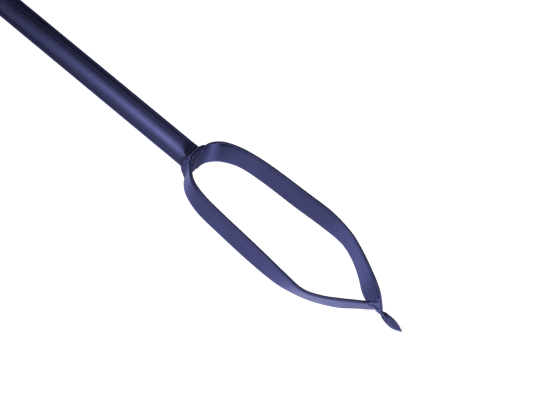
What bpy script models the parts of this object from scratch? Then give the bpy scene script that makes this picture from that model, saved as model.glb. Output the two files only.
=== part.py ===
"""Long-handled bulb planter with a T-handle, a welded open loop of two steel blades and a screw point.

The tool stands upright on its point. The origin is the tip of the point, +Z runs up the shaft,
the crossbar lies along X, and the front of the shaft, with its label and vent hole, faces -Y.
All sizes are in metres.
"""

import math

import bmesh
import bpy
import numpy as np
from mathutils import Matrix, Vector

GAP = 0.0003  # clearance between touching pieces

# Overall layout
CROSSBAR_HEIGHT = 1.037  # tip of the point to the crossbar's axis
HANDLE_WIDTH = 0.480  # across the outer ends of both grips

# Crossbar tube
CROSSBAR_RADIUS = 0.013
CROSSBAR_WALL = 0.002

# Grips
GRIP_LENGTH = 0.124
GRIP_END_RADIUS = 0.0164  # at both ends of the barrel
GRIP_MIDDLE_RADIUS = 0.0174  # at the middle of the barrel
GRIP_FLANGE_RADIUS = 0.0182
GRIP_FLANGE_LENGTH = 0.0058
GRIP_GROOVE_RADIUS = 0.0158
GRIP_GROOVE_LENGTH = 0.0016
GRIP_END_WALL = 0.006
GRIP_END_ROUND = 0.0075
GRIP_LIP_ROUND = 0.0012

# Shaft tube
SHAFT_RADIUS = 0.0125
SHAFT_WALL = 0.0015
# Both ends are pressed: distance from the end, then half width of the oval along X, its half depth
# along Y, and how far the flats pressed into its front and back stand from the axis. The oval keeps
# the round tube's girth. The flats end in a V where they run out into the oval.
TOP_PRESS = (
    (0.000, 0.0174, 0.0062, 0.0048),
    (0.027, 0.0149, 0.0098, 0.0075),
    (0.037, 0.0138, 0.0111, 0.0111),
    (0.052, SHAFT_RADIUS, SHAFT_RADIUS, SHAFT_RADIUS),
)
FOOT_PRESS = (
    (0.000, 0.0128, 0.0122, 0.0092),
    (0.014, SHAFT_RADIUS, SHAFT_RADIUS, SHAFT_RADIUS),
)
VENT_RADIUS = 0.002
VENT_BELOW_BAR_AXIS = 0.0445

# Label on the front of the shaft
LABEL_HALF_WIDTH = 0.0112
LABEL_HALF_HEIGHT = 0.0206
LABEL_BELOW_BAR_AXIS = 0.0890
LABEL_THICKNESS = 0.0004

# Blades: flat steel strip, bent into one half of the loop each
STRIP_THICKNESS = 0.003
STRIP_EDGE_CHAMFER = 0.0004
SEAM_X = 0.0040  # where the two strips butt under the shaft
LOOP_TOP = 0.2480  # height of the strips' middle plane under the shaft

# Stations of each blade from the shaft down, in millimetres and degrees: distance from the axis, height,
# width of the leading and of the trailing half, thickness, and turn of the strip about its own run.
# The tool is driven clockwise, so the right blade leads with its front edge and the left one with its
# back edge, and a turn below zero is the right-hand twist of a screw.
MM = 0.001
RIGHT_STATIONS = (
    (-4.0, 248.0, 17.5, 17.5, 3.0, 0),
    (12.0, 247.6, 17.5, 17.5, 3.0, 0),
    (22.6, 241.4, 17.5, 17.5, 3.0, -1),
    (30.0, 232.0, 17.5, 17.5, 3.0, -4),
    (36.4, 216.0, 17.5, 17.5, 3.0, -7),
    (40.0, 190.0, 17.5, 17.5, 3.0, -6),
    (41.9, 150.0, 17.5, 17.5, 3.0, -5),
    (43.5, 118.0, 17.5, 17.5, 3.0, -6.5),
    (41.3, 92.0, 17.5, 17.5, 3.0, -13),
    (34.6, 75.0, 17.5, 17.5, 3.0, -14),
    (25.0, 60.0, 17.4, 17.4, 3.0, -11),
    (14.8, 47.0, 16.6, 16.6, 3.0, -5),
    (8.5, 37.5, 13.8, 14.0, 3.0, -4),
    (4.8, 30.5, 8.6, 9.0, 3.0, -8),
    (2.0, 26.0, 3.6, 4.0, 3.0, -16),
    (1.4, 22.5, 3.0, 3.0, 3.0, -55),
    (0.9, 18.5, 3.6, 3.6, 2.8, -95),
    (0.4, 14.0, 3.9, 3.9, 2.4, -112),
    (0.0, 9.5, 3.5, 3.5, 2.0, -118),
    (0.0, 5.0, 2.3, 2.3, 1.5, -122),
    (0.0, 0.0, 0.4, 0.4, 0.8, -125),
)
LEFT_STATIONS = (
    (-12.0, 248.0, 17.5, 17.5, 3.0, 0),
    (0.0, 248.0, 17.5, 17.5, 3.0, 0),
    (12.0, 246.6, 17.5, 17.5, 3.0, 0),
    (21.0, 239.8, 17.5, 17.5, 3.0, -1),
    (27.3, 230.0, 17.5, 17.5, 3.0, -3),
    (31.7, 214.0, 17.5, 17.5, 3.0, -2.5),
    (33.9, 190.0, 17.5, 17.5, 3.0, -3),
    (36.3, 150.0, 17.5, 17.5, 3.0, -4),
    (37.5, 118.0, 17.5, 17.5, 3.0, -9),
    (36.1, 98.0, 17.5, 17.5, 3.0, -16),
    (30.3, 82.0, 17.5, 17.5, 3.0, -14),
    (22.4, 68.0, 17.4, 17.4, 3.0, -10.5),
    (14.1, 55.5, 16.6, 16.6, 3.0, -8),
    (6.5, 45.5, 15.5, 15.0, 3.0, -8.5),
    (2.5, 40.0, 14.0, 8.0, 3.0, -9),
    (-0.4, 35.0, 12.0, 1.0, 3.0, -10),
    (-4.0, 30.5, 8.0, -4.0, 3.0, -8),
)
STATION_STEPS = 4  # sections between two stations
POINT_RUN = slice(7, 17)  # the right blade's stations where the left one closes on it
SEAM_RUN = slice(0, 4)  # both blades' stations under the shaft's foot

# Weld beads
TOP_BEAD_REACH = 0.0030
TOP_BEAD_DROP = 0.0050
FOOT_BEAD_REACH = 0.0026
FOOT_BEAD_RISE = 0.0042
BELLY_REACH = 0.4  # the middle of a fillet, as shares of its reach and of its height
BELLY_HEIGHT = 0.45
SEAM_BEAD_RADIUS = 0.0024
SEAM_BEAD_HALF_LENGTH = 0.0155
SEAM_BEAD_DEPTH = 0.0005  # how far the bead's axis lies inside the joint
POINT_BEAD_HALF_LENGTH = 0.0042
POINT_INNER_RADIUS = 0.0016
POINT_INNER_CENTRE = (0.0042, 0.0052, 0.0338)  # in the V between the blades' inner faces
POINT_OUTER_RADIUS = 0.0014
POINT_OUTER_CENTRE = (0.0033, 0.0062, 0.0310)  # under the left blade's end

CUTTER_REACH = 0.030  # how far a trimming box goes past the strips
CUTTER_DEPTH = 0.016  # how much is cleared behind the right blade, where the left one ends on it
CUTTER_SIDE = 0.012

ROUND_STEPS = 48
DRILL_STEPS = 16
BEAD_STEPS = 16
BEAD_RINGS = 10
DRILL_LENGTH = 0.020
FOOT_SECTIONS = 6  # sections of the shaft along its pressed foot
TOP_SECTIONS = 4  # and along each stretch of its pressed top
LABEL_RINGS = (0.01, 0.34, 0.67, 1.0)  # shares of the label's outline, from its middle to its edge


def clear_scene():
    for obj in list(bpy.data.objects):
        bpy.data.objects.remove(obj, do_unlink=True)


def make_material(name, colour, roughness, metallic):
    material = bpy.data.materials.new(name)
    material.use_nodes = True
    shader = material.node_tree.nodes["Principled BSDF"]
    shader.inputs["Base Color"].default_value = (*colour, 1.0)
    shader.inputs["Roughness"].default_value = roughness
    shader.inputs["Metallic"].default_value = metallic
    return material


def add_object(name, bm, material, smooth_angle=35):
    bmesh.ops.recalc_face_normals(bm, faces=bm.faces)
    mesh = bpy.data.meshes.new(name)
    bm.to_mesh(mesh)
    bm.free()
    mesh.shade_smooth()
    mesh.set_sharp_from_angle(angle=math.radians(smooth_angle))
    if material:
        mesh.materials.append(material)
    obj = bpy.data.objects.new(name, mesh)
    bpy.context.collection.objects.link(obj)
    return obj


def hide_cutter(obj):
    obj.hide_render = True
    obj.display_type = "WIRE"
    return obj


def cut(obj, cutter):
    modifier = obj.modifiers.new("cut " + cutter.name, "BOOLEAN")
    modifier.operation = "DIFFERENCE"
    modifier.solver = "EXACT"
    modifier.object = cutter
    return modifier


def skin(bm, rings, close_rings=False):
    """Quads between neighbouring rings of points. With close_rings the last ring joins the first,
    as around a bead; otherwise both ends are capped."""
    loops = [[bm.verts.new(point) for point in ring] for ring in rings]
    pairs = list(zip(loops, loops[1:]))
    if close_rings:
        pairs.append((loops[-1], loops[0]))
    for lower, upper in pairs:
        count = len(lower)
        for i in range(count):
            j = (i + 1) % count
            bm.faces.new((lower[i], lower[j], upper[j], upper[i]))
    if not close_rings:
        bm.faces.new(loops[0])
        bm.faces.new(loops[-1])


def turned(name, profile, material, mirror=False):
    """A solid turned about the X axis from (x, radius) points that start and end on the axis,
    or that close into a ring when neither end lies on it."""
    bm = bmesh.new()
    side = -1 if mirror else 1
    verts = [bm.verts.new((side * x, 0.0, radius)) for x, radius in profile]
    on_axis = profile[0][1] == 0.0
    edges = [bm.edges.new(pair) for pair in zip(verts, verts[1:])]
    if not on_axis:
        edges.append(bm.edges.new((verts[-1], verts[0])))
    bmesh.ops.spin(
        bm,
        geom=verts + edges,
        axis=(1, 0, 0),
        cent=(0, 0, 0),
        steps=ROUND_STEPS,
        angle=math.tau,
        use_merge=True,
    )
    bmesh.ops.remove_doubles(bm, verts=bm.verts, dist=1e-6)
    obj = add_object(name, bm, material)
    obj.location.z = CROSSBAR_HEIGHT
    return obj


def arc_points(centre, radius, start, end, steps):
    """Points along a quarter or any other arc, in the plane of a profile."""
    angles = np.radians(np.linspace(start, end, steps + 1))
    return [(centre[0] + radius * math.cos(a), centre[1] + radius * math.sin(a)) for a in angles]


def shaft_foot():
    return LOOP_TOP + STRIP_THICKNESS / 2 + GAP


def shaft_top():
    return CROSSBAR_HEIGHT - CROSSBAR_RADIUS - GAP


def shaft_ring(height, grow=0.0):
    """The shaft's cross-section at a height, round between the pressed ends, grown outwards by `grow`."""
    from_top = shaft_top() - height
    from_foot = height - shaft_foot()
    rows, end = (TOP_PRESS, from_top) if from_top < from_foot else (FOOT_PRESS, from_foot)
    table = np.array(rows)
    width, depth, flat = (np.interp(end, table[:, 0], table[:, k]) + grow for k in (1, 2, 3))
    ring = []
    for i in range(ROUND_STEPS):
        angle = math.tau * i / ROUND_STEPS
        y = min(max(depth * math.sin(angle), -flat), flat)
        ring.append((width * math.cos(angle), y, height))
    return ring


def make_shaft(paint):
    """Round tube, open through both pressed ends, with a vent hole in the pressed front."""
    heights = [shaft_foot() + share * FOOT_PRESS[-1][0] for share in np.linspace(0, 1, FOOT_SECTIONS)]
    for low, high in zip(TOP_PRESS[::-1], TOP_PRESS[-2::-1]):
        drops = np.linspace(low[0], high[0], TOP_SECTIONS, endpoint=False)
        heights += [shaft_top() - drop for drop in drops]
    heights.append(shaft_top())
    bm = bmesh.new()
    outer = [shaft_ring(z) for z in heights]
    inner = [shaft_ring(z, grow=-SHAFT_WALL) for z in heights]
    skin(bm, outer + inner[::-1], close_rings=True)
    shaft = add_object("shaft_tube", bm, paint)

    bm = bmesh.new()
    bmesh.ops.create_cone(
        bm,
        cap_ends=True,
        segments=DRILL_STEPS,
        radius1=VENT_RADIUS,
        radius2=VENT_RADIUS,
        depth=DRILL_LENGTH,
    )
    drill = hide_cutter(add_object("vent_drill", bm, None))
    drill.rotation_euler.x = math.radians(90)
    drill.location = (0.0, -DRILL_LENGTH / 2, CROSSBAR_HEIGHT - VENT_BELOW_BAR_AXIS)
    cut(shaft, drill)
    return shaft


def make_crossbar(paint):
    half = HANDLE_WIDTH / 2 - GRIP_END_WALL - GAP
    inner = CROSSBAR_RADIUS - CROSSBAR_WALL
    profile = [(-half, CROSSBAR_RADIUS), (half, CROSSBAR_RADIUS), (half, inner), (-half, inner)]
    return turned("crossbar_tube", profile, paint)


def make_grip(name, rubber, mirror):
    """A closed rubber sleeve: rounded outer end, slightly full barrel, groove and flange at the inner end."""
    outer_x = HANDLE_WIDTH / 2
    inner_x = outer_x - GRIP_LENGTH
    flange_x = inner_x + GRIP_FLANGE_LENGTH
    barrel_x = flange_x + GRIP_GROOVE_LENGTH
    bore = CROSSBAR_RADIUS + GAP
    bore_end = outer_x - GRIP_END_WALL
    lip = GRIP_LIP_ROUND
    profile = [(bore_end, 0.0), (bore_end, bore), (inner_x, bore)]
    profile += arc_points((inner_x + lip, GRIP_FLANGE_RADIUS - lip), lip, 180, 90, 4)
    profile += arc_points((flange_x - lip, GRIP_FLANGE_RADIUS - lip), lip, 90, 0, 4)
    profile += [(flange_x, GRIP_GROOVE_RADIUS), (barrel_x, GRIP_GROOVE_RADIUS)]
    profile += arc_points((barrel_x + lip, GRIP_END_RADIUS - lip), lip, 180, 90, 4)
    barrel_start = barrel_x + lip
    barrel_end = outer_x - GRIP_END_ROUND
    for share in np.linspace(0.1, 0.9, 9):
        fullness = math.sin(math.pi * share) * (GRIP_MIDDLE_RADIUS - GRIP_END_RADIUS)
        x = barrel_start + share * (barrel_end - barrel_start)
        profile.append((x, GRIP_END_RADIUS + fullness))
    profile += arc_points((barrel_end, GRIP_END_RADIUS - GRIP_END_ROUND), GRIP_END_ROUND, 90, 0, 8)
    profile.append((outer_x, 0.0))
    return turned(name, profile, rubber, mirror)


def make_label(white):
    """A thin oval plate curved round the front of the shaft."""
    inner_radius = SHAFT_RADIUS + GAP
    centre = CROSSBAR_HEIGHT - LABEL_BELOW_BAR_AXIS
    outer_radius = inner_radius + LABEL_THICKNESS
    layers = [(share, outer_radius) for share in LABEL_RINGS]
    layers += [(share, inner_radius) for share in reversed(LABEL_RINGS)]
    rings = []
    for share, shell in layers:
        ring = []
        for i in range(ROUND_STEPS):
            angle = math.tau * i / ROUND_STEPS
            across = share * LABEL_HALF_WIDTH * math.cos(angle) / SHAFT_RADIUS
            along = share * LABEL_HALF_HEIGHT * math.sin(angle)
            ring.append((shell * math.sin(across), -shell * math.cos(across), centre + along))
        rings.append(ring)
    bm = bmesh.new()
    skin(bm, rings)
    return add_object("label", bm, white)


def spline(stations, steps):
    """Values on a smooth curve through every station (Catmull-Rom), with `steps` spans between two."""
    rows = np.array(stations, float)
    first = 2 * rows[0] - rows[1]
    last = 2 * rows[-1] - rows[-2]
    rows = np.vstack([first, rows, last])
    points = []
    for a, b, c, d in zip(rows, rows[1:], rows[2:], rows[3:]):
        for step in range(steps):
            t = step / steps
            slope_b = (c - a) / 2
            slope_c = (d - b) / 2
            h = 2 * t**3 - 3 * t**2 + 1
            points.append(h * b + (1 - h) * c + (t**3 - 2 * t**2 + t) * slope_b + (t**3 - t**2) * slope_c)
    points.append(rows[-2])
    return np.array(points)


def strip_rings(stations, side, inward, outward, extra_width=0.0, chamfer=STRIP_EDGE_CHAMFER):
    """Cross-sections of a bent strip. `inward` and `outward` are added to half the strip's thickness
    on the loop's inner and outer side; side is +1 for the right blade and -1 for the left one."""
    rows = spline(stations, STATION_STEPS)
    run = np.gradient(rows[:, :2], axis=0)
    rings = []
    for (x, z, leading, trailing, thickness, turn), (dx, dz) in zip(rows, run):
        tangent = Vector((dx, 0.0, dz)).normalized()
        outside = Vector((-tangent.z, 0.0, tangent.x))
        turn = math.radians(turn)
        ahead = Vector((0.0, -math.cos(turn), 0.0)) + outside * math.sin(turn)
        face = outside * math.cos(turn) + Vector((0.0, math.sin(turn), 0.0))
        centre = Vector((x * MM, 0.0, z * MM))
        lead = leading * MM + extra_width
        trail = -trailing * MM - extra_width
        low = -thickness * MM / 2 - inward
        high = thickness * MM / 2 + outward
        bevel = min(chamfer, 0.3 * (lead - trail), 0.3 * thickness * MM)
        corners = (
            (lead - bevel, low),
            (lead, low + bevel),
            (lead, high - bevel),
            (lead - bevel, high),
            (trail + bevel, high),
            (trail, high - bevel),
            (trail, low + bevel),
            (trail + bevel, low),
        )
        ring = [centre + ahead * w + face * t for w, t in corners]
        rings.append([Vector((side * p.x, side * p.y, p.z)) for p in ring])
    return rings


def make_strip(name, stations, side, material, inward=0.0, outward=0.0, extra_width=0.0):
    bm = bmesh.new()
    skin(bm, strip_rings(stations, side, inward, outward, extra_width))
    return add_object(name, bm, material)


def make_box(name, low, high):
    low, high = Vector(low), Vector(high)
    bm = bmesh.new()
    bmesh.ops.create_cube(bm, size=1.0, matrix=Matrix.Diagonal((*(high - low), 1.0)))
    box = add_object(name, bm, None)
    box.location = (low + high) / 2
    return hide_cutter(box)


def make_blades(paint):
    right = make_strip("right_blade", RIGHT_STATIONS, 1, paint)
    left = make_strip("left_blade", LEFT_STATIONS, -1, paint)
    low = Vector((-CUTTER_REACH, -CUTTER_REACH, LOOP_TOP - CUTTER_REACH))
    high = Vector((CUTTER_REACH, CUTTER_REACH, LOOP_TOP + CUTTER_REACH))
    beside_seam = make_box("right_seam_cutter", low, (SEAM_X + GAP / 2, high.y, high.z))
    cut(right, beside_seam)
    past_seam = make_box("left_seam_cutter", (SEAM_X - GAP / 2, low.y, low.z), high)
    cut(left, past_seam)
    lower_run = RIGHT_STATIONS[POINT_RUN]
    behind = make_strip("point_cutter", lower_run, 1, None, GAP, CUTTER_DEPTH, CUTTER_SIDE)
    cut(left, hide_cutter(behind))
    return left, right


def bead_ring(name, outline, paint):
    """A closed weld bead from a list of cross-sections that runs round a joint."""
    bm = bmesh.new()
    skin(bm, outline, close_rings=True)
    return add_object(name, bm, paint)


def make_top_bead(paint):
    """Fillet between the shaft's pressed top and the underside of the crossbar."""
    top = shaft_top()
    shell = CROSSBAR_RADIUS + GAP

    def under_bar(x, y):
        return (x, y, CROSSBAR_HEIGHT - math.sqrt(shell**2 - y**2))

    toe = shaft_ring(top - TOP_BEAD_DROP, grow=GAP)
    belly_height = top - BELLY_HEIGHT * TOP_BEAD_DROP
    belly = shaft_ring(belly_height, grow=GAP + BELLY_REACH * TOP_BEAD_REACH)
    brim = [under_bar(x, y) for x, y, _ in shaft_ring(top, grow=GAP + TOP_BEAD_REACH)]
    root = [under_bar(x, y) for x, y, _ in shaft_ring(top, grow=GAP)]
    return bead_ring("crossbar_weld", list(zip(toe, belly, brim, root)), paint)


def above_strips(x, clearance):
    """Height at a place along X under the shaft that clears the strips' upper face by `clearance`."""
    stations = RIGHT_STATIONS if x > 0 else LEFT_STATIONS
    rows = MM * spline(stations[SEAM_RUN], STATION_STEPS)
    height = np.interp(abs(x), rows[:, 0], rows[:, 1])
    slope = np.interp(abs(x), rows[:, 0], np.gradient(rows[:, 1], rows[:, 0]))
    return float(height + (STRIP_THICKNESS / 2 + clearance) * math.hypot(1.0, slope))


def make_foot_bead(paint):
    """Fillet round the shaft's foot, standing on both strips."""
    foot = shaft_foot()

    def on_strips(ring, clearance):
        return [(x, y, above_strips(x, clearance)) for x, y, _ in ring]

    outline = shaft_ring(foot, grow=GAP + FOOT_BEAD_REACH)
    toe = shaft_ring(foot + FOOT_BEAD_RISE, grow=GAP)
    belly_height = foot + BELLY_HEIGHT * FOOT_BEAD_RISE
    belly = shaft_ring(belly_height, grow=GAP + BELLY_REACH * FOOT_BEAD_REACH)
    brim = on_strips(outline, 2 * GAP)
    sole = on_strips(outline, GAP)
    root = on_strips(shaft_ring(foot, grow=GAP), GAP)
    return bead_ring("foot_weld", list(zip(toe, belly, brim, sole, root)), paint)


def make_bead_bar(name, centre, radius, half_length, paint, clearances):
    """A short run of weld along Y with rounded ends, trimmed to the strips it joins."""
    bm = bmesh.new()
    shape = Matrix.Diagonal((radius, half_length, radius, 1.0))
    bmesh.ops.create_uvsphere(
        bm, u_segments=BEAD_STEPS, v_segments=BEAD_RINGS, radius=1.0, matrix=shape
    )
    bead = add_object(name, bm, paint)
    bead.location = centre
    for clearance in clearances:
        cut(bead, clearance)
    return bead


def make_strip_beads(paint):
    """The beads that hold the strips to each other under the shaft and at the point."""
    clearances = [
        hide_cutter(make_strip("right_clearance", RIGHT_STATIONS, 1, None, GAP, GAP, GAP)),
        hide_cutter(make_strip("left_clearance", LEFT_STATIONS, -1, None, GAP, GAP, GAP)),
    ]
    seam = (SEAM_X, 0.0, LOOP_TOP - STRIP_THICKNESS / 2 + SEAM_BEAD_DEPTH)
    bars = (
        ("seam_weld", seam, SEAM_BEAD_RADIUS, SEAM_BEAD_HALF_LENGTH),
        ("point_weld_inner", POINT_INNER_CENTRE, POINT_INNER_RADIUS, POINT_BEAD_HALF_LENGTH),
        ("point_weld_outer", POINT_OUTER_CENTRE, POINT_OUTER_RADIUS, POINT_BEAD_HALF_LENGTH),
    )
    for name, centre, radius, half_length in bars:
        make_bead_bar(name, centre, radius, half_length, paint, clearances)


def main():
    clear_scene()
    paint = make_material("blue_metallic_paint", (0.075, 0.080, 0.200), 0.34, 0.75)
    rubber = make_material("black_grip_rubber", (0.030, 0.028, 0.029), 0.85, 0.0)
    white = make_material("white_label", (0.82, 0.82, 0.82), 0.4, 0.0)
    make_shaft(paint)
    make_crossbar(paint)
    make_grip("right_grip", rubber, mirror=False)
    make_grip("left_grip", rubber, mirror=True)
    make_label(white)
    make_blades(paint)
    make_top_bead(paint)
    make_foot_bead(paint)
    make_strip_beads(paint)


main()
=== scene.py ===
"""Looks of a long-handled bulb planter: T-handle, tube shaft and an open loop of two blades with a point.

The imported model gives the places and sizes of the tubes, the grips and the label. The steel pieces, the
welds, the grips and the label are built again here with round edges, pressed facets, fillets and foam, and
get their materials from nodes.
"""

import math

import bmesh
import bpy
import numpy as np
from mathutils import Matrix, Vector, noise
from mathutils.bvhtree import BVHTree


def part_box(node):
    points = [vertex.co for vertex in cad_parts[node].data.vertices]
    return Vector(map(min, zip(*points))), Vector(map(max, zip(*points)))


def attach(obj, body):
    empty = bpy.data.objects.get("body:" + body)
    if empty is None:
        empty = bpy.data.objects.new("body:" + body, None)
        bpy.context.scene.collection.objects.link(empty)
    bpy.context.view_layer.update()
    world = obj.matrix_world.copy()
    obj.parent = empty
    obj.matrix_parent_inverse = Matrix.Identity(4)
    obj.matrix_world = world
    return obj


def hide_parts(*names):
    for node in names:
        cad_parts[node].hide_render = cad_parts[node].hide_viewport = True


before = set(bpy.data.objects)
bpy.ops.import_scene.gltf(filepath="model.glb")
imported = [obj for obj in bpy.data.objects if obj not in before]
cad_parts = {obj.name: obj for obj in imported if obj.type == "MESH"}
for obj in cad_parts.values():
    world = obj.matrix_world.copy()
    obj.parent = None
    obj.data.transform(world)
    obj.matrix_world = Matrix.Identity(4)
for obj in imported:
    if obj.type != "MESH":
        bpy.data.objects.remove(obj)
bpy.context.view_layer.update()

MM = 0.001
GAP = 0.3 * MM

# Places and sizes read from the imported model
SHAFT_LOW, SHAFT_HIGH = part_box("shaft_tube")
BAR_LOW, BAR_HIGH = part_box("crossbar_tube")
GRIP_LOW, GRIP_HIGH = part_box("right_grip")
LABEL_LOW, LABEL_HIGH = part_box("label")
TUBE_RADIUS = SHAFT_HIGH.y
TUBE_WALL = 1.5 * MM
SHAFT_FOOT = SHAFT_LOW.z
BAR_RADIUS = BAR_HIGH.y
BAR_AXIS = (BAR_LOW.z + BAR_HIGH.z) / 2
SHAFT_TOP = BAR_AXIS - BAR_RADIUS - GAP
VENT_HEIGHT = BAR_AXIS - 44.5 * MM
VENT_RADIUS = 2.0 * MM
SEAM_X = 4.0 * MM

# The pressed ends of the shaft: distance from the end, half width and half depth of the oval, and
# distance from the axis to the flats. Past the V where the flats run out, the last value grows at once.
TOP_PRESS = (
    (0.000, 0.0174, 0.0062, 0.0049),
    (0.027, 0.0149, 0.0098, 0.0076),
    (0.037, 0.0138, 0.0111, 0.0114),
    (0.044, 0.0131, 0.0118, 0.0180),
    (0.052, TUBE_RADIUS, TUBE_RADIUS, 0.0300),
)
FOOT_PRESS = (
    (0.000, 0.0128, 0.0122, 0.0092),
    (0.007, 0.0127, 0.0123, 0.0097),
    (0.013, TUBE_RADIUS, TUBE_RADIUS, 0.0126),
    (0.020, TUBE_RADIUS, TUBE_RADIUS, 0.0300),
)
CREASE = 0.16 * MM  # softness of the edge round a pressed flat

# The blades' stations: distance from the axis and height in millimetres, width of the leading and trailing
# half, thickness, and the strip's turn about its own run in degrees. They are the solid model's, except that
# the right blade's end at the seam is lower, its neck is thicker and the left blade's leading half is wider.
RIGHT_STATIONS = (
    (-4.0, 246.9, 17.5, 17.5, 3.0, 0),
    (12.0, 247.1, 17.5, 17.5, 3.0, 0),
    (22.6, 241.4, 17.5, 17.5, 3.0, -1),
    (30.0, 232.0, 17.5, 17.5, 3.0, -4),
    (36.4, 216.0, 17.5, 17.5, 3.0, -7),
    (40.0, 190.0, 17.5, 17.5, 3.0, -6),
    (41.9, 150.0, 17.5, 17.5, 3.0, -5),
    (43.5, 118.0, 17.5, 17.5, 3.0, -6.5),
    (41.3, 92.0, 17.5, 17.5, 3.0, -13),
    (34.6, 75.0, 17.5, 17.5, 3.0, -14),
    (25.0, 60.0, 17.4, 17.4, 3.0, -11),
    (14.8, 47.0, 16.6, 16.6, 3.0, -5),
    (8.5, 37.5, 13.8, 14.0, 3.0, -4),
    (4.8, 30.5, 8.6, 9.0, 3.0, -8),
    (2.0, 26.0, 4.2, 4.6, 3.6, -16),
    (1.4, 22.5, 3.6, 3.8, 4.4, -55),
    (0.9, 18.5, 3.8, 3.8, 4.0, -95),
    (0.4, 14.0, 4.2, 4.2, 3.0, -112),
    (0.0, 9.5, 3.9, 3.9, 2.2, -118),
    (0.0, 5.0, 2.7, 2.7, 1.5, -122),
    (0.0, 0.0, 0.4, 0.4, 0.8, -125),
)
LEFT_STATIONS = (
    (-12.0, 248.0, 17.5, 17.5, 3.0, 0),
    (0.0, 248.0, 17.5, 17.5, 3.0, 0),
    (12.0, 246.6, 17.5, 17.5, 3.0, 0),
    (21.0, 239.8, 17.5, 17.5, 3.0, -1),
    (27.3, 230.0, 17.5, 17.5, 3.0, -3),
    (31.7, 214.0, 17.6, 17.5, 3.0, -2.5),
    (33.9, 190.0, 17.8, 17.5, 3.0, -3),
    (36.3, 150.0, 18.0, 17.5, 3.0, -4),
    (37.5, 118.0, 18.3, 17.5, 3.0, -9),
    (36.1, 98.0, 18.6, 17.5, 3.0, -16),
    (30.3, 82.0, 18.7, 17.5, 3.0, -14),
    (22.4, 68.0, 18.6, 17.4, 3.0, -10.5),
    (14.1, 55.5, 17.9, 16.6, 3.0, -8),
    (6.5, 45.5, 16.8, 15.0, 3.0, -8.5),
    (2.5, 40.0, 15.3, 8.0, 3.0, -9),
    (-0.4, 35.0, 13.0, 1.0, 3.0, -10),
    (-4.0, 30.5, 9.0, -4.0, 3.0, -8),
)
STATION_STEPS = 12  # sections between two stations
CUTTER_RUN = slice(7, 17)  # the right blade's stations where the left one closes on it
CUTTER_DEPTH, CUTTER_MARGIN = 16 * MM, 12 * MM
FACE_POINTS = 11
CORNER_POINTS = 4
EDGE_ROUND = 0.8 * MM
LENS_START, LENS_END = 29 * MM, 19 * MM  # the point's section turns from a bar into a lens between these
LENS_SHARE = 0.72

ROUND_STEPS = 96  # points round a tube
GRIP_STEPS = 128
TUBE_LIP = 0.3 * MM  # round of a tube's cut end


# ---------------------------------------------------------------- mesh code


def new_object(name, verts, faces, material, smooth_angle=40):
    mesh = bpy.data.meshes.new(name)
    mesh.from_pydata([tuple(v) for v in verts], [], faces)
    bm = bmesh.new()
    bm.from_mesh(mesh)
    bmesh.ops.recalc_face_normals(bm, faces=bm.faces)
    bm.to_mesh(mesh)
    bm.free()
    return finish_object(name, mesh, material, smooth_angle)


def finish_object(name, mesh, material, smooth_angle=40):
    mesh.name = name
    mesh.shade_smooth()
    mesh.set_sharp_from_angle(angle=math.radians(smooth_angle))
    mesh.materials.clear()
    if material:
        mesh.materials.append(material)
    obj = bpy.data.objects.new(name, mesh)
    bpy.context.scene.collection.objects.link(obj)
    return obj


def skinned(name, rings, material, loop=False, smooth_angle=40):
    """Quads between neighbouring rings of points. With loop the last ring joins the first; otherwise
    both ends are capped."""
    rings = np.asarray(rings, float)
    count, around = rings.shape[:2]
    faces = []
    for i in range(count if loop else count - 1):
        low, high = i * around, (i + 1) % count * around
        for j in range(around):
            k = (j + 1) % around
            faces.append((low + j, low + k, high + k, high + j))
    if not loop:
        faces.append(tuple(range(around)))
        faces.append(tuple(range((count - 1) * around, count * around)))
    return new_object(name, rings.reshape(-1, 3), faces, material, smooth_angle)


def applied(obj):
    """The object with its modifiers turned into mesh."""
    bpy.context.view_layer.update()
    graph = bpy.context.evaluated_depsgraph_get()
    mesh = bpy.data.meshes.new_from_object(obj.evaluated_get(graph))
    obj.modifiers.clear()
    obj.data = mesh
    return obj


def carved(obj, cutter, operation="DIFFERENCE"):
    modifier = obj.modifiers.new("carve", "BOOLEAN")
    modifier.operation = operation
    modifier.solver = "EXACT"
    modifier.object = cutter
    applied(obj)
    bpy.data.objects.remove(cutter, do_unlink=True)
    return obj


def smoothed(obj, angle=40):
    obj.data.shade_smooth()
    obj.data.set_sharp_from_angle(angle=math.radians(angle))
    return obj


def points_of(obj):
    points = np.empty(len(obj.data.vertices) * 3, np.float32)
    obj.data.vertices.foreach_get("co", points)
    return points.reshape(-1, 3).astype(float)


def set_points(obj, points):
    obj.data.vertices.foreach_set("co", points.astype(np.float32).ravel())
    obj.data.update()


def normals_of(obj):
    normals = np.empty(len(obj.data.vertices) * 3, np.float32)
    obj.data.vertices.foreach_get("normal", normals)
    return normals.reshape(-1, 3).astype(float)


def mark(obj, name, values):
    attribute = obj.data.attributes.new(name, "FLOAT", "POINT")
    attribute.data.foreach_set("value", np.asarray(values, np.float32))


def roughened(obj, amount, size, seed, octaves=3):
    """Moves each point along its normal by smooth noise of the given amount and feature size."""
    points, normals = points_of(obj), normals_of(obj)
    offset = Vector((seed, 2.0 * seed, 3.0 * seed))
    shift = [noise.fractal(Vector(p) / size + offset, 1.0, 2.0, octaves) for p in points]
    set_points(obj, points + normals * (amount * np.array(shift))[:, None])
    return obj


def settle(obj, slot, *nodes):
    """The piece stands for CAD nodes and rides on the body. The slot is not used."""
    if nodes:
        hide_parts(*nodes)
    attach(obj, "root")
    return obj


# ---------------------------------------------------------------- materials


def node(tree, kind, inputs=None, **settings):
    made = tree.nodes.new(kind)
    for key, value in settings.items():
        setattr(made, key, value)
    for key, value in (inputs or {}).items():
        if isinstance(value, bpy.types.NodeSocket):
            tree.links.new(value, made.inputs[key])
        else:
            made.inputs[key].default_value = value
    return made


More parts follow.
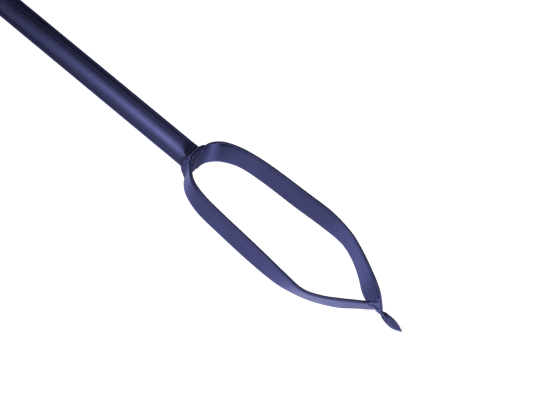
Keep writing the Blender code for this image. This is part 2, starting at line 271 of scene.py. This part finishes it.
def new_material(name):
    material = bpy.data.materials.new(name)
    material.use_nodes = True
    tree = material.node_tree
    return material, tree, tree.nodes["Principled BSDF"]


def grain(tree, place, scale, detail=2.0, low=0.0, high=1.0):
    """Noise at a scale of so many features in a metre, spread from low to high."""
    made = node(tree, "ShaderNodeTexNoise", {"Vector": place, "Scale": scale, "Detail": detail})
    levels = {"Value": made.outputs["Fac"], "From Min": 0.3, "From Max": 0.7}
    spread = node(tree, "ShaderNodeMapRange", levels)
    spread.inputs["To Min"].default_value = low
    spread.inputs["To Max"].default_value = high
    return spread.outputs["Result"]


def mix_colour(tree, share, first, second):
    made = node(tree, "ShaderNodeMix", data_type="RGBA")
    for key, value in ((0, share), (6, first), (7, second)):
        if isinstance(value, bpy.types.NodeSocket):
            tree.links.new(value, made.inputs[key])
        else:
            made.inputs[key].default_value = value
    return made.outputs[2]


def math_node(tree, operation, first, second=0.0):
    made = node(tree, "ShaderNodeMath", {0: first, 1: second}, operation=operation)
    return made.outputs[0]


def bumped(tree, height, strength, distance, under=None):
    made = node(tree, "ShaderNodeBump", {"Height": height, "Strength": strength, "Distance": distance})
    if under:
        tree.links.new(under, made.inputs["Normal"])
    return made.outputs["Normal"]


PAINT_LIGHT = (0.145, 0.155, 0.390, 1.0)
PAINT_DARK = (0.114, 0.123, 0.321, 1.0)
PAINT_WEAR = (0.170, 0.178, 0.360, 1.0)
PAINT_SHEEN = (0.60, 0.61, 0.92, 1.0)
# Painted shade: the dark tone drawn along the strips' narrow edges, and its share
PAINTED_EDGE_SHADE = (0.030, 0.032, 0.090, 1.0)
EDGE_SHADE_SHARE = 0.25
# The photograph's dark patch on the pressed foot: a given tone, whose cause isn't known
# Painted reflection: a dark tone painted into the colour at the pressed foot, in place of a reflection that
# the lights don't give
PAINTED_REFLECTION_TONE = (0.045, 0.046, 0.115, 1.0)
PAINTED_REFLECTION_PLACE = (0.0, -12.0 * MM, SHAFT_FOOT + 6.5 * MM)
PAINTED_REFLECTION_RADIUS = 12.0 * MM
PAINTED_REFLECTION_SHARE = 0.85


def paint_material(name, edge_shade_and_wear=False):
    """Blue-violet metallic paint: fine flakes, a slight orange peel, a painted dark reflection at the shaft's
    foot, and with the edge flag set a painted shade and rubbed spots of wear along the strips' narrow edges."""
    material, tree, shader = new_material(name)
    place = node(tree, "ShaderNodeTexCoord").outputs["Object"]
    flakes = grain(tree, place, 2600.0, 1.0)
    clouds = grain(tree, place, 38.0, 3.0)
    share = math_node(tree, "MULTIPLY_ADD", flakes, 0.55)
    tree.links.new(math_node(tree, "MULTIPLY", clouds, 0.45), share.node.inputs[2])
    colour = mix_colour(tree, share, PAINT_DARK, PAINT_LIGHT)
    if edge_shade_and_wear:
        edge = node(tree, "ShaderNodeAttribute", attribute_name="edge").outputs["Fac"]
        spots = grain(tree, place, 700.0, 4.0, -3.4, 1.4)
        # painted shade: the colour along the strips' narrow edges is drawn toward a dark tone; the rubbed
        # spots after it are wear
        colour = mix_colour(tree, math_node(tree, "MULTIPLY", edge, EDGE_SHADE_SHARE), colour, PAINTED_EDGE_SHADE)
        rubbed = node(tree, "ShaderNodeClamp", {"Value": math_node(tree, "MULTIPLY", edge, spots)})
        colour = mix_colour(tree, rubbed.outputs[0], colour, PAINT_WEAR)
    # painted reflection: the colour turns to a dark tone near the pressed foot of the shaft
    off = node(tree, "ShaderNodeVectorMath", {0: place, 1: PAINTED_REFLECTION_PLACE}, operation="DISTANCE")
    reach = {"Value": off.outputs["Value"], "From Min": PAINTED_REFLECTION_RADIUS, "From Max": 0.5 * PAINTED_REFLECTION_RADIUS}
    painted_reflection = node(tree, "ShaderNodeMapRange", reach).outputs["Result"]
    colour = mix_colour(tree, math_node(tree, "MULTIPLY", painted_reflection, PAINTED_REFLECTION_SHARE), colour, PAINTED_REFLECTION_TONE)
    tree.links.new(colour, shader.inputs["Base Color"])
    shader.inputs["Metallic"].default_value = 1.0
    shader.inputs["Specular Tint"].default_value = PAINT_SHEEN
    tree.links.new(grain(tree, place, 60.0, 4.0, 0.23, 0.30), shader.inputs["Roughness"])
    shader.inputs["Coat Weight"].default_value = 0.06
    shader.inputs["Coat Roughness"].default_value = 0.22
    peel = bumped(tree, grain(tree, place, 420.0, 2.0), 0.05, 0.0002)
    tree.links.new(bumped(tree, flakes, 0.03, 0.00006, peel), shader.inputs["Normal"])
    return material


def rubber_material():
    """Matte foam rubber: a fine skin of cells whose pits carry painted shade, with worn lighter patches."""
    material, tree, shader = new_material("black_grip_rubber")
    place = node(tree, "ShaderNodeTexCoord").outputs["Object"]
    cells = node(tree, "ShaderNodeTexVoronoi", {"Vector": place, "Scale": 1400.0}).outputs["Distance"]
    clouds = grain(tree, place, 55.0, 4.0)
    colour = mix_colour(tree, clouds, (0.034, 0.030, 0.034, 1.0), (0.060, 0.053, 0.058, 1.0))
    # painted shade: the colour is darker in the pits of the cells, where the bump sinks
    shaded_pores = node(tree, "ShaderNodeMapRange", {"Value": cells, "From Min": 0.0, "From Max": 0.55})
    colour = mix_colour(tree, shaded_pores.outputs["Result"], (0.020, 0.018, 0.020, 1.0), colour)
    tree.links.new(colour, shader.inputs["Base Color"])
    tree.links.new(grain(tree, place, 120.0, 3.0, 0.78, 0.95), shader.inputs["Roughness"])
    shader.inputs["Specular IOR Level"].default_value = 0.35
    skin = bumped(tree, grain(tree, place, 900.0, 3.0), 0.30, 0.0003)
    tree.links.new(bumped(tree, cells, 0.35, 0.0003, skin), shader.inputs["Normal"])
    return material


def label_material():
    """White film with a thin dark border and one plain stripe, drawn from the label's own UV map."""
    material, tree, shader = new_material("white_label")
    place = node(tree, "ShaderNodeTexCoord")
    across, along, _ = node(tree, "ShaderNodeSeparateXYZ", {"Vector": place.outputs["UV"]}).outputs
    radius = node(tree, "ShaderNodeVectorMath", {0: place.outputs["UV"]}, operation="LENGTH").outputs["Value"]

    def within(value, middle, half):
        gap = math_node(tree, "ABSOLUTE", math_node(tree, "SUBTRACT", value, middle))
        return math_node(tree, "LESS_THAN", gap, half)

    border = within(radius, 0.92, 0.022)
    stripe = math_node(tree, "MULTIPLY", within(across, 0.0, 0.10), within(along, 0.0, 0.45))
    printed = math_node(tree, "MAXIMUM", border, stripe)
    clouds = grain(tree, place.outputs["Object"], 160.0, 3.0)
    paper = mix_colour(tree, clouds, (0.80, 0.80, 0.79, 1.0), (0.86, 0.86, 0.86, 1.0))
    colour = mix_colour(tree, printed, paper, (0.03, 0.03, 0.04, 1.0))
    tree.links.new(colour, shader.inputs["Base Color"])
    tree.links.new(grain(tree, place.outputs["Object"], 300.0, 2.0, 0.30, 0.40), shader.inputs["Roughness"])
    shader.inputs["Coat Weight"].default_value = 0.3
    shader.inputs["Coat Roughness"].default_value = 0.15
    tree.links.new(bumped(tree, clouds, 0.08, 0.0002), shader.inputs["Normal"])
    return material


# ---------------------------------------------------------------- shaft and handle


def shaft_sizes(height):
    """Half width, half depth and distance of the flats of the shaft at a height, eased along its run."""
    from_top, from_foot = SHAFT_TOP - height, height - SHAFT_FOOT
    rows, end = (TOP_PRESS, from_top) if from_top < from_foot else (FOOT_PRESS, from_foot)
    table = np.array(rows)
    ends = end + np.linspace(-0.9 * MM, 0.9 * MM, 7)
    return [float(np.interp(ends, table[:, 0], table[:, k]).mean()) for k in (1, 2, 3)]


def shaft_ring(height, grow=0.0):
    """The shaft's section at a height: an oval with softly creased flats at its front and back."""
    width, depth, flat = (size + grow for size in shaft_sizes(height))
    angles = np.linspace(0, math.tau, ROUND_STEPS, endpoint=False)
    y = depth * np.sin(angles)
    soft = -CREASE * np.logaddexp(-np.abs(y) / CREASE, -flat / CREASE)
    y = np.sign(y) * np.where(np.abs(y) < flat - 8 * CREASE, np.abs(y), np.maximum(soft, 0.0))
    return np.stack([width * np.cos(angles), y, np.full(ROUND_STEPS, height)], 1)


def make_shaft(paint):
    foot = np.linspace(SHAFT_FOOT + 0.5 * MM, SHAFT_FOOT + 22 * MM, 34)
    middle = np.linspace(SHAFT_FOOT + 30 * MM, SHAFT_TOP - 60 * MM, 24)
    top = np.linspace(SHAFT_TOP - 55 * MM, SHAFT_TOP - 0.5 * MM, 90)
    heights = np.concatenate([foot, middle, top])
    outer = [shaft_ring(SHAFT_FOOT, -TUBE_LIP), *[shaft_ring(z) for z in heights]]
    outer.append(shaft_ring(SHAFT_TOP, -TUBE_LIP))
    inner = [shaft_ring(z, -TUBE_WALL) for z in (SHAFT_TOP, *heights[::-3], SHAFT_FOOT)]
    shaft = skinned("shaft", outer + inner, paint, loop=True, smooth_angle=50)
    reach = 12 * MM
    drill = turned_z("vent_drill", [(VENT_RADIUS, -reach), (VENT_RADIUS, reach)], 40)
    drill.data.transform(Matrix.Rotation(math.radians(90), 4, "X"))
    drill.data.transform(Matrix.Translation((0.0, -reach, VENT_HEIGHT)))
    smoothed(carved(shaft, drill), 50)
    return settle(shaft, "paint", "shaft_tube")


def turned_z(name, profile, steps):
    """A closed solid turned about Z from (radius, height) points."""
    angles = np.linspace(0, math.tau, steps, endpoint=False)
    rings = [np.stack([r * np.cos(angles), r * np.sin(angles), np.full(steps, z)], 1) for r, z in profile]
    return skinned(name, rings, None)


def turned_x(name, profile, material, steps=ROUND_STEPS, loop=False):
    """A solid turned about the crossbar's axis from (x, radius) points."""
    angles = np.linspace(0, math.tau, steps, endpoint=False)
    rings = []
    for x, radius in profile:
        ring = [np.full(steps, x), radius * np.sin(angles), BAR_AXIS + radius * np.cos(angles)]
        rings.append(np.stack(ring, 1))
    return skinned(name, rings, material, loop)


def make_crossbar(paint):
    wall = 2.0 * MM
    ends = BAR_HIGH.x
    outer = [(-ends, BAR_RADIUS - TUBE_LIP), (-ends + TUBE_LIP, BAR_RADIUS)]
    outer += [(x, BAR_RADIUS) for x in np.linspace(-ends + 10 * MM, ends - 10 * MM, 60)]
    outer += [(ends - TUBE_LIP, BAR_RADIUS), (ends, BAR_RADIUS - TUBE_LIP)]
    inner = [(ends, BAR_RADIUS - wall), (-ends, BAR_RADIUS - wall)]
    return settle(turned_x("crossbar", outer + inner, paint, loop=True), "paint", "crossbar_tube")


def arc(centre, radius, start, end, steps):
    angles = np.radians(np.linspace(start, end, steps + 1))
    return [(centre[0] + radius * math.cos(a), centre[1] + radius * math.sin(a)) for a in angles]


def grip_profile():
    """Outline of the grip from its inner end to its tip, as (x, radius), and back along its bore."""
    tip, inner = GRIP_HIGH.x, GRIP_LOW.x
    flange, flange_end = 18.1 * MM, inner + 5.8 * MM
    groove, barrel = 15.7 * MM, flange_end + 1.8 * MM
    end_radius, middle_radius = 16.35 * MM, 17.4 * MM
    tip_round = 8.0 * MM
    lip = 1.9 * MM
    outline = arc((inner + lip, flange - lip), lip, 180, 90, 8)
    outline += arc((flange_end - lip, flange - lip), lip, 90, 20, 8)
    dip = 0.9 * MM
    outline += arc((flange_end + dip, groove + dip), dip, 200, 320, 8)
    soft = 1.6 * MM
    outline += arc((barrel + soft, end_radius - soft), soft, 160, 90, 6)
    start, end = barrel + soft, tip - tip_round
    for share in np.linspace(0.015, 0.985, 90):
        full = math.sin(math.pi * share) ** 0.85 * (middle_radius - end_radius)
        outline.append((start + share * (end - start), end_radius + full))
    outline += arc((end, end_radius - tip_round), tip_round, 90, 4, 16)
    outline.append((tip, 3.0 * MM))
    outline.append((tip, 0.4 * MM))
    bore = BAR_RADIUS + GAP
    bottom = BAR_HIGH.x + GAP
    outline += [(bottom, 0.4 * MM), (bottom, bore - 1.0 * MM), (bottom - 1.0 * MM, bore), (inner, bore)]
    return outline


def make_grip(name, side, rubber, node_name):
    profile = [(side * x, radius) for x, radius in grip_profile()]
    grip = turned_x(name, profile, rubber, steps=GRIP_STEPS, loop=True)
    roughened(grip, 0.10 * MM, 16 * MM, 5 if side > 0 else 9)
    roughened(grip, 0.05 * MM, 1.6 * MM, 17 if side > 0 else 23)
    return settle(smoothed(grip, 60), "grip_rubber", node_name)


def make_label(white):
    """A thin oval film wrapped round the front of the shaft, with a rounded rim."""
    half_height = (LABEL_HIGH.z - LABEL_LOW.z) / 2
    centre = (LABEL_HIGH.z + LABEL_LOW.z) / 2
    low, high = TUBE_RADIUS + 0.02 * MM, -LABEL_LOW.y - 0.02 * MM
    half_angle = math.asin(min(1.0, LABEL_HIGH.x / high))
    layers = [(share, high) for share in np.linspace(0.02, 0.985, 24)]
    layers += [(0.996, high - 0.08 * MM), (1.0, high - 0.2 * MM), (1.0, low)]
    layers += [(share, low) for share in (0.7, 0.35, 0.02)]
    angles = np.linspace(0, math.tau, ROUND_STEPS, endpoint=False)
    rings, flat = [], []
    for share, radius in layers:
        across = share * half_angle * np.cos(angles)
        up = share * half_height * np.sin(angles)
        rings.append(np.stack([radius * np.sin(across), -radius * np.cos(across), centre + up], 1))
        flat.append(share * np.stack([np.cos(angles), np.sin(angles)], 1))
    label = skinned("label_film", rings, white, smooth_angle=60)
    flat = np.concatenate(flat)
    layer = label.data.uv_layers.new(name="label")
    corners = np.empty(len(label.data.loops), np.int32)
    label.data.loops.foreach_get("vertex_index", corners)
    layer.data.foreach_set("uv", flat[corners].astype(np.float32).ravel())
    return settle(label, "label", "label")


# ---------------------------------------------------------------- blades


def spline(stations, steps):
    """Values on a smooth curve through every station (Catmull-Rom), with `steps` spans between two."""
    rows = np.array(stations, float)
    rows = np.vstack([2 * rows[0] - rows[1], rows, 2 * rows[-1] - rows[-2]])
    points = []
    for a, b, c, d in zip(rows, rows[1:], rows[2:], rows[3:]):
        for step in range(steps):
            t = step / steps
            h = 2 * t**3 - 3 * t**2 + 1
            bend = (t**3 - 2 * t**2 + t) * (c - a) / 2 + (t**3 - t**2) * (d - b) / 2
            points.append(h * b + (1 - h) * c + bend)
    points.append(rows[-2])
    return np.array(points)


def section(lead, trail, thickness, height):
    """Outline of the strip across its run, as (towards the leading edge, outwards) and edge marks."""
    lens = LENS_SHARE * float(np.interp(height, (LENS_END, LENS_START), (1.0, 0.0)))
    half = thickness / 2
    rim = half * (1 - lens)
    bend = min(EDGE_ROUND, 0.9 * rim, 0.25 * (lead + trail))
    middle, reach = (lead - trail) / 2, (lead + trail) / 2

    def depth(w):
        return half * (1 - lens * ((w - middle) / reach) ** 4)

    flat = np.linspace(-trail + bend, lead - bend, FACE_POINTS)
    turns = np.linspace(-90, 90, 2 * CORNER_POINTS + 1)[1:-1]
    points = [(w, -depth(w)) for w in flat]
    points += edge_round(lead - bend, depth(lead - bend), bend, turns, 1)
    points += [(w, depth(w)) for w in flat[::-1]]
    points += edge_round(-trail + bend, depth(-trail + bend), bend, -turns, -1)
    marks = [0.0] * FACE_POINTS + [1.0] * len(turns)
    return points, marks * 2


def edge_round(start, half, bend, turns, side):
    """A softly squared end: round corners of radius `bend` on an edge of half thickness `half`."""
    points = []
    for turn in np.radians(turns):
        across = math.sin(turn)
        out = math.cos(turn) ** 0.5
        points.append((start + side * bend * out, half * np.sign(across) * abs(across) ** 0.8))
    return points


def strip(name, stations, side, material, trim=None, outward=0.0, wide=0.0):
    """A bent and twisted strip. It starts at the distance `trim` from the axis; side is +1 for the right
    blade and -1 for the left one, which is turned half round the shaft's axis. A cutter is made `outward`
    thicker on its outer face and wider by `wide` on each edge."""
    rows = spline(stations, STATION_STEPS)
    if trim is not None:
        first = int(np.argmax(rows[:, 0] > trim / MM))
        share = (trim / MM - rows[first - 1, 0]) / (rows[first, 0] - rows[first - 1, 0])
        start = rows[first - 1] + share * (rows[first] - rows[first - 1])
        rows = np.vstack([start, rows[first:]])
    run = np.gradient(rows[:, :2], axis=0)
    rings, marks = [], []
    for (x, z, leading, trailing, thickness, turn), (dx, dz) in zip(rows, run):
        tangent = Vector((dx, 0.0, dz)).normalized()
        outside = Vector((-tangent.z, 0.0, tangent.x))
        turn = math.radians(turn)
        ahead = Vector((0.0, -math.cos(turn), 0.0)) + outside * math.sin(turn)
        face = outside * math.cos(turn) + Vector((0.0, math.sin(turn), 0.0))
        outline, edges = section(leading * MM + wide, trailing * MM + wide, thickness * MM, z * MM)
        middle = Vector((x * MM, 0.0, z * MM))
        ring = [middle + ahead * w + face * (t + (outward if t > 0 else 0.0)) for w, t in outline]
        rings.append([(side * p.x, side * p.y, p.z) for p in ring])
        marks += edges
    blade = skinned(name, rings, material, smooth_angle=45)
    mark(blade, "edge", marks)
    return blade


def make_blades(paint):
    right = strip("right_blade_steel", RIGHT_STATIONS, 1, paint, trim=SEAM_X + GAP / 2)
    left = strip("left_blade_steel", LEFT_STATIONS, -1, paint, trim=-SEAM_X + GAP / 2)
    run = RIGHT_STATIONS[CUTTER_RUN]
    cutter = strip("cutter", run, 1, None, outward=CUTTER_DEPTH, wide=CUTTER_MARGIN)
    smoothed(carved(left, cutter), 45)
    return settle(left, "paint", "left_blade"), settle(right, "paint", "right_blade")


# ---------------------------------------------------------------- welds

# The web of weld metal between the cut end of the left blade and the inside of the right one, in millimetres
WEB_CORNERS = (
    (-6.2, -13.5, 43.3),
    (-4.6, -12.8, 44.6),
    (-0.9, -1.0, 34.3),
    (2.4, 3.5, 30.0),
    (4.6, -8.6, 31.5),
    (4.4, -4.0, 31.0),
    (3.4, -6.4, 30.0),
    (2.0, -3.4, 25.5),
    (0.4, 0.0, 26.5),
    (4.0, 0.0, 27.0),
)
# The web between the tube's left wall and the left blade, in millimetres
SIDE_WEB = (
    (-12.3, -9.0, 255.0),
    (-12.3, 9.0, 255.0),
    (-17.3, -11.5, 244.5),
    (-17.3, 11.5, 244.5),
    (-10.0, -12.0, 249.0),
    (-10.0, 12.0, 249.0),
)
# Lumps along the front of the foot weld: x, y and height above the shaft's foot, and radii, in millimetres
FRONT_LUMPS = (
    ((-12.5, -14.4, -3.6), (4.2, 3.6, 4.6)),
    ((-8.2, -14.8, -1.4), (4.2, 3.4, 4.6)),
    ((-3.6, -15.0, -0.8), (3.4, 3.2, 4.2)),
    ((0.2, -14.9, -1.0), (3.0, 3.0, 3.8)),
    ((4.0, -14.6, -0.2), (3.2, 3.2, 3.8)),
    ((8.2, -13.2, -0.4), (3.4, 3.4, 3.0)),
    ((12.6, 0.0, -0.4), (1.8, 8.0, 2.4)),
)
# The steel that each weld takes in, as low and high corner
ROOT_BOX = ((-25 * MM, -20 * MM, 236 * MM), (25 * MM, 20 * MM, 264 * MM))
NECK_BOX = ((-17 * MM, -20 * MM, 20 * MM), (21 * MM, 20 * MM, 60 * MM))
TEE_BOX = ((-28 * MM, -20 * MM, SHAFT_TOP - 12 * MM), (28 * MM, 20 * MM, SHAFT_TOP + 14 * MM))
BARE_BELOW = SHAFT_FOOT - 2.2 * MM  # the strips' inner faces lie below this and stay free of weld
WELD_VOXEL = 0.5 * MM
WELD_SINK = 0.12 * MM
WELD_SMOOTHING = 20
WELD_FADE = 0.7 * MM  # how far from the steel the lumps reach their full height
LUMP_SIZE = 3.5 * MM


def cropped(obj, low, high):
    """A closed copy of the piece inside a box."""
    size = Vector(high) - Vector(low)
    centre = (Vector(high) + Vector(low)) / 2
    bm = bmesh.new()
    bmesh.ops.create_cube(bm, size=1.0, matrix=Matrix.Translation(centre) @ Matrix.Diagonal((*size, 1.0)))
    mesh = bpy.data.meshes.new("crop")
    bm.to_mesh(mesh)
    bm.free()
    box = finish_object("crop", mesh, None)
    copy = bpy.data.objects.new("copy", obj.data.copy())
    bpy.context.scene.collection.objects.link(copy)
    return carved(copy, box, "INTERSECT")


def blob(centre, radii):
    """A closed ellipsoid of weld metal, given in millimetres."""
    bm = bmesh.new()
    shape = Matrix.Translation(MM * Vector(centre)) @ Matrix.Diagonal((*[MM * r for r in radii], 1.0))
    bmesh.ops.create_icosphere(bm, subdivisions=3, radius=1.0, matrix=shape)
    mesh = bpy.data.meshes.new("blob")
    bm.to_mesh(mesh)
    bm.free()
    return mesh


def hull(corners):
    """A closed convex body round corners given in millimetres."""
    bm = bmesh.new()
    for corner in corners:
        bm.verts.new(MM * Vector(corner))
    made = bmesh.ops.convex_hull(bm, input=bm.verts)
    loose = [v for v in made["geom_interior"] if isinstance(v, bmesh.types.BMVert)]
    bmesh.ops.delete(bm, geom=loose, context="VERTS")
    bmesh.ops.recalc_face_normals(bm, faces=bm.faces)
    mesh = bpy.data.meshes.new("hull")
    bm.to_mesh(mesh)
    bm.free()
    return mesh


def melted(name, sources, blobs, box, material, fill, lumps, bare=None):
    """Weld metal between steel pieces. The pieces inside the box are joined, grown by `fill` and shrunk
    back, which leaves a fillet of that radius in every inner corner. The result is sunk a little, so that
    only the fillets stand proud, and these get lumps of the given height. Weld nearest to steel that faces
    down and lies below the height `bare` is drawn in under that steel, which leaves it bare."""
    joined = bmesh.new()
    for source in sources:
        copy = cropped(source, *box)
        joined.from_mesh(copy.data)
        bpy.data.objects.remove(copy, do_unlink=True)
    steel = BVHTree.FromBMesh(joined)
    for mesh in blobs:
        joined.from_mesh(mesh)
    mesh = bpy.data.meshes.new(name)
    joined.to_mesh(mesh)
    joined.free()
    weld = finish_object(name, mesh, material)
    for distance in (fill, -fill - WELD_SINK):
        remesh = weld.modifiers.new("remesh", "REMESH")
        remesh.mode = "VOXEL"
        remesh.voxel_size = WELD_VOXEL
        shift = weld.modifiers.new("shift", "DISPLACE")
        shift.strength = distance
        shift.mid_level = 0.0
    smooth = weld.modifiers.new("smooth", "SMOOTH")
    smooth.factor = 0.5
    smooth.iterations = WELD_SMOOTHING
    applied(weld)
    points, normals = points_of(weld), normals_of(weld)
    for i, point in enumerate(points):
        nearest, facing, _, distance = steel.find_nearest(Vector(point))
        if bare and facing.z < -0.5 and nearest.z < bare:
            points[i] = nearest - WELD_SINK * facing
            continue
        if facing.dot(Vector(point) - nearest) <= 0:
            continue
        proud = min(1.0, distance / WELD_FADE)
        points[i] += normals[i] * proud * lumps * noise.fractal(Vector(point) / LUMP_SIZE, 1.0, 2.0, 3)
    set_points(weld, points)
    return smoothed(weld, 80)


def make_welds(paint, left, right, shaft, bar):
    foot = SHAFT_FOOT / MM
    front = [hull(SIDE_WEB)]
    front += [blob((x, y, foot + rise), radii) for (x, y, rise), radii in FRONT_LUMPS]
    root = melted(
        "shaft_foot_weld", (left, right, shaft), front, ROOT_BOX, paint, 2.2 * MM, 0.10 * MM, BARE_BELOW
    )
    settle(root, "weld", "foot_weld")
    seam = finish_object("seam_weld_bead", blob((2.2, 0.0, 246.9), (1.7, 19.0, 0.5)), paint)
    settle(smoothed(roughened(seam, 0.12 * MM, 3 * MM, 41), 80), "weld", "seam_weld")
    web = [hull(WEB_CORNERS)]
    point = melted("point_weld", (left, right), web, NECK_BOX, paint, 2.0 * MM, 0.02 * MM)
    settle(point, "weld", "point_weld_inner", "point_weld_outer")
    tee = melted("crossbar_weld_metal", (shaft, bar), [], TEE_BOX, paint, 3.0 * MM, 0.5 * MM)
    settle(tee, "weld", "crossbar_weld")


# ---------------------------------------------------------------- floor, light and camera

CAMERA_PLACE = Vector((-0.25859, -0.44417, 0.13238))
CAMERA_AZIMUTH, CAMERA_ELEVATION, CAMERA_ROLL = (math.radians(a) for a in (-31.88, -3.44, -50.52))
CAMERA_LENS = 36.0
CAMERA_SENSOR = 36.0


def make_camera():
    data = bpy.data.cameras.new("camera")
    data.lens = CAMERA_LENS
    data.sensor_width = CAMERA_SENSOR
    data.clip_start = 0.01
    data.clip_end = 100.0
    camera = bpy.data.objects.new("camera", data)
    a, e = CAMERA_AZIMUTH, CAMERA_ELEVATION
    back = Vector((math.sin(a) * math.cos(e), -math.cos(a) * math.cos(e), math.sin(e)))
    right = Vector((math.cos(a), math.sin(a), 0.0))
    up = back.cross(right)
    turn = Matrix((right, up, back)).transposed().to_4x4()
    turn @= Matrix.Rotation(CAMERA_ROLL, 4, "Z")
    camera.matrix_world = Matrix.Translation(CAMERA_PLACE) @ turn
    bpy.context.scene.collection.objects.link(camera)
    bpy.context.scene.camera = camera


def direction(azimuth, elevation):
    """A direction seen from the object. Azimuth 0 is the front, -Y, and 90 is +X."""
    a, e = math.radians(azimuth), math.radians(elevation)
    return (math.sin(a) * math.cos(e), -math.cos(a) * math.cos(e), math.sin(e))


# Soft boxes of the studio: azimuth, elevation, outer half angle and strength. All but the last were fitted
# to the tones of the photograph, and the last was added.
SOFT_BOXES = (
    (-180, 0, 38, 0.56),
    (-120, 0, 38, 0.35),
    (-60, 0, 38, 0.66),
    (0, 0, 38, 0.07),
    (30, 0, 38, 0.23),
    (90, 0, 38, 0.18),
    (-170, 38, 38, 0.12),
    (150, 38, 38, 0.45),
    (-90, -38, 38, 1.34),
    (-10, -38, 38, 0.57),
    (150, -38, 38, 0.22),
    (-160, 75, 40, 0.55),
    (80, 75, 40, 0.48),
    (80, -75, 40, 0.93),
    (-42, 14, 18, 0.80),
    (-26, 14, 18, 0.52),
    (-10, 14, 18, 0.47),
    (-92, 28, 18, 0.20),
    (-74, 28, 18, 0.13),
    (-180, -18, 20, 0.39),
    (-180, -56, 26, 0.90),
)
SOFT_CORE = 0.2  # share of a soft box's half angle that shines at full strength
BACKDROP = 1.25
KEY_SIZE, KEY_WATTS, KEY_DISTANCE = 1.2, 16.0, 2.2
FLOOR_HALF = 6.0


def make_world():
    """White for the camera and for matte surfaces, and a studio of soft boxes for reflections."""
    world = bpy.data.worlds.new("studio")
    world.use_nodes = True
    bpy.context.scene.world = world
    tree = world.node_tree
    place = node(tree, "ShaderNodeTexCoord").outputs["Generated"]
    total = None
    for azimuth, elevation, outer, strength in SOFT_BOXES:
        facing = node(tree, "ShaderNodeVectorMath", {0: place, 1: direction(azimuth, elevation)})
        facing.operation = "DOT_PRODUCT"
        lobe = node(tree, "ShaderNodeMapRange", {"Value": facing.outputs["Value"]})
        lobe.interpolation_type = "SMOOTHSTEP"
        lobe.inputs["From Min"].default_value = math.cos(math.radians(outer))
        lobe.inputs["From Max"].default_value = math.cos(math.radians(SOFT_CORE * outer))
        lobe.inputs["To Max"].default_value = strength
        light = lobe.outputs["Result"]
        total = light if total is None else math_node(tree, "ADD", total, light)
    glossy = node(tree, "ShaderNodeLightPath").outputs["Is Glossy Ray"]
    strength = node(tree, "ShaderNodeMix", {0: glossy, 2: BACKDROP, 3: total})
    background = tree.nodes["Background"]
    tree.links.new(strength.outputs[0], background.inputs["Strength"])
    background.inputs["Color"].default_value = (1.0, 1.0, 1.0, 1.0)


def make_floor():
    material, tree, shader = new_material("pale_floor")
    place = node(tree, "ShaderNodeTexCoord").outputs["Object"]
    tone = grain(tree, place, 3.0, 2.0)
    colour = mix_colour(tree, tone, (0.93, 0.93, 0.93, 1.0), (0.95, 0.95, 0.95, 1.0))
    tree.links.new(colour, shader.inputs["Base Color"])
    shader.inputs["Roughness"].default_value = 1.0
    shader.inputs["Specular IOR Level"].default_value = 0.0
    half = FLOOR_HALF
    corners = [(-half, -half, 0.0), (half, -half, 0.0), (half, half, 0.0), (-half, half, 0.0)]
    floor = new_object("floor", corners, [(0, 1, 2, 3)], material)
    floor.visible_glossy = False


def make_key_light():
    """A large soft lamp, up and to the left, that shapes the matte grips and the label."""
    data = bpy.data.lights.new("key", "AREA")
    data.shape = "RECTANGLE"
    data.size = data.size_y = KEY_SIZE
    data.energy = KEY_WATTS
    lamp = bpy.data.objects.new("key", data)
    target = Vector((0.0, 0.0, 0.6))
    place = target + KEY_DISTANCE * Vector(direction(-45.0, 40.0))
    lamp.location = place
    lamp.rotation_mode = "QUATERNION"
    lamp.rotation_quaternion = (place - target).to_track_quat("Z", "Y")
    lamp.visible_camera = False
    lamp.visible_glossy = False
    bpy.context.scene.collection.objects.link(lamp)


def main():
    make_camera()
    make_world()
    make_floor()
    make_key_light()
    bpy.context.scene.view_settings.view_transform = "Standard"
    paint = paint_material("blue_metallic_paint")
    # the blades' paint has painted shade along the narrow edges, besides rubbed spots of wear
    shade_and_wear_paint = paint_material("blue_metallic_paint_blades", edge_shade_and_wear=True)
    rubber = rubber_material()
    shaft = make_shaft(paint)
    bar = make_crossbar(paint)
    make_grip("right_grip_foam", 1, rubber, "right_grip")
    make_grip("left_grip_foam", -1, rubber, "left_grip")
    make_label(label_material())
    left, right = make_blades(shade_and_wear_paint)
    make_welds(paint, left, right, shaft, bar)


main()
